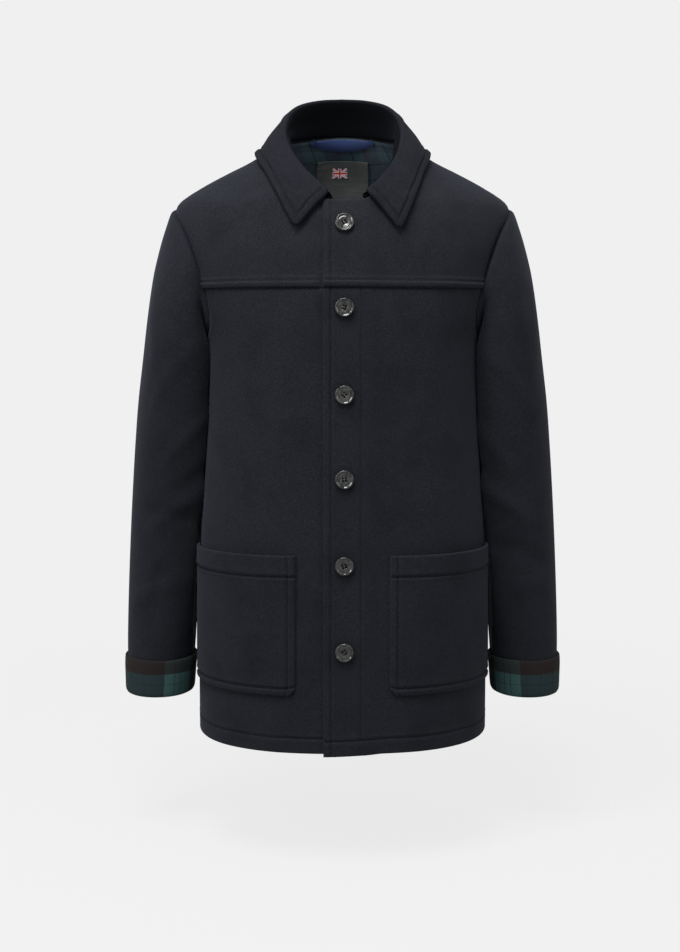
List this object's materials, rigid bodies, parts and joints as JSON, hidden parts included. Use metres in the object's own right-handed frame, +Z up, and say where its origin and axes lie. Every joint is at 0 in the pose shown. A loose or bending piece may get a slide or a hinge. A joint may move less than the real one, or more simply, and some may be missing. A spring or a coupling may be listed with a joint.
{
  "type": "wool donkey jacket",
  "caption": "Hip-length wool work jacket, filled out as worn: turned-down collar, yoke, buttoned front, open patch pockets, long sleeves with checked cuffs.",
  "frame": {"origin": "middle of the neck, level with the tops of the shoulder seams", "axes": "+Z up, the front faces -Y, +X towards the wearer's left"},
  "size_m": [0.5724, 0.3063, 0.8183],
  "materials": {
    "melton": "dark navy felted wool with a short nap",
    "tartan": "brushed wool check in green, navy and black",
    "lining": "matt woven lining in dark green and navy check",
    "tape": "blue woven tape",
    "label": "dark woven satin",
    "button": "dark marbled resin, polished"
  },
  "bodies": {
    "root": {"front_right": "melton", "front_yoke_right": "melton", "sleeve_right": "melton", "cuff_right": "tartan", "pocket_right": "melton", "front_left": "melton", "front_yoke_left": "melton", "sleeve_left": "melton", "cuff_left": "tartan", "pocket_left": "melton", "back": "melton", "collar": "melton", "neck_lining": "lining", "hanger_loop": "tape", "label": "label", "button_1": "button", "button_2": "button", "button_3": "button", "button_4": "button", "button_5": "button", "button_6": "button"}
  },
  "joints": []
}
